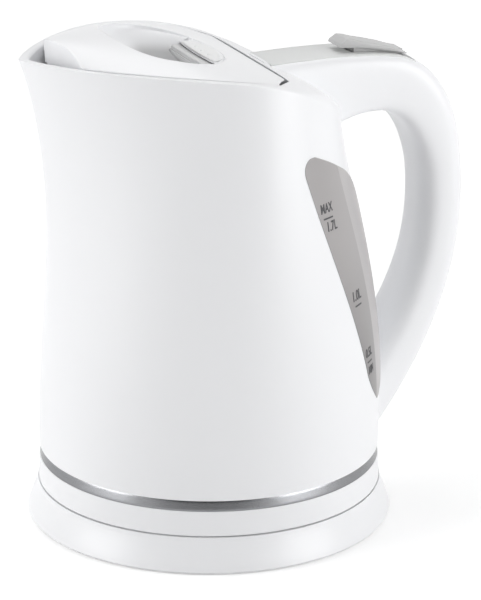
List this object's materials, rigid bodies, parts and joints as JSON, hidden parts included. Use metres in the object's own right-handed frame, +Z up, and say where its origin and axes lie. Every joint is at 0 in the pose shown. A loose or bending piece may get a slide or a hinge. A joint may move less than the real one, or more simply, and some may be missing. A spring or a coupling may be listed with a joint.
{
  "type": "electric kettle",
  "caption": "Cordless electric kettle with a looped handle, leaf-shaped hinged lid, two water gauges and a round power base.",
  "frame": {"origin": "on the surface the power base stands on, on the kettle's upright axis", "axes": "+Z up along the kettle's axis, -X towards the spout, +X towards the handle, +Y to the side with the cord outlet"},
  "size_m": [0.215, 0.172, 0.2329],
  "materials": {
    "white_plastic": "glossy, very lightly worn",
    "grey_plastic": "satin",
    "dark_plastic": "satin",
    "window_plastic": "smoked, slightly see-through",
    "seal_rubber": "matte",
    "plate_steel": "brushed",
    "trim_metal": "polished",
    "steel_hardware": "zinc plated",
    "contact_brass": "plain"
  },
  "bodies": {
    "base": {"base_shell": "white_plastic", "base_bottom": "white_plastic", "foot_ring": "seal_rubber", "base_screws": "steel_hardware", "base_socket": "grey_plastic", "base_contacts": "contact_brass", "cord_outlet": "dark_plastic"},
    "connector": {"kettle_connector": "grey_plastic", "connector_contacts": "contact_brass"},
    "kettle": {"jug": "white_plastic", "skirt": "white_plastic", "trim_ring": "trim_metal", "heater_plate": "plate_steel", "heater_seal": "seal_rubber", "heater_element": "plate_steel", "control_unit": "dark_plastic", "skirt_screws": "steel_hardware", "gauge_right": "window_plastic", "gauge_left": "window_plastic", "filter_frame": "grey_plastic", "filter_mesh": "plate_steel", "handle_panel": "grey_plastic", "steam_switch": "dark_plastic", "switch_pin": "steel_hardware", "hinge_pin": "steel_hardware"},
    "lid": {"lid_shell": "white_plastic", "lid_inner": "white_plastic", "lid_seal": "seal_rubber", "lid_rest": "grey_plastic"},
    "latch": {"lid_latch": "grey_plastic"},
    "lever": {"switch_lever": "dark_plastic"}
  },
  "joints": [
    {"name": "kettle_lift", "type": "slide", "parent": "base", "child": "connector", "axis": [0, 0, 1], "range_m": [0, 0.1]},
    {"name": "kettle_swivel", "type": "hinge", "parent": "connector", "child": "kettle", "pos_m": [0, 0, 0.0218], "axis": [0, 0, 1], "continuous": true},
    {"name": "lid_hinge", "type": "hinge", "parent": "kettle", "child": "lid", "pos_m": [0.0163, 0, 0.2144], "axis": [0, 1, 0], "range_deg": [0, 68]},
    {"name": "latch_slide", "type": "slide", "parent": "lid", "child": "latch", "axis": [1, 0, 0], "range_m": [0, 0.0035], "stiffness_N_per_m": 300, "springref_m": -0.003},
    {"name": "switch_rock", "type": "hinge", "parent": "kettle", "child": "lever", "pos_m": [0.088, 0, 0.208], "axis": [0, -1, 0], "range_deg": [0, 4]}
  ]
}
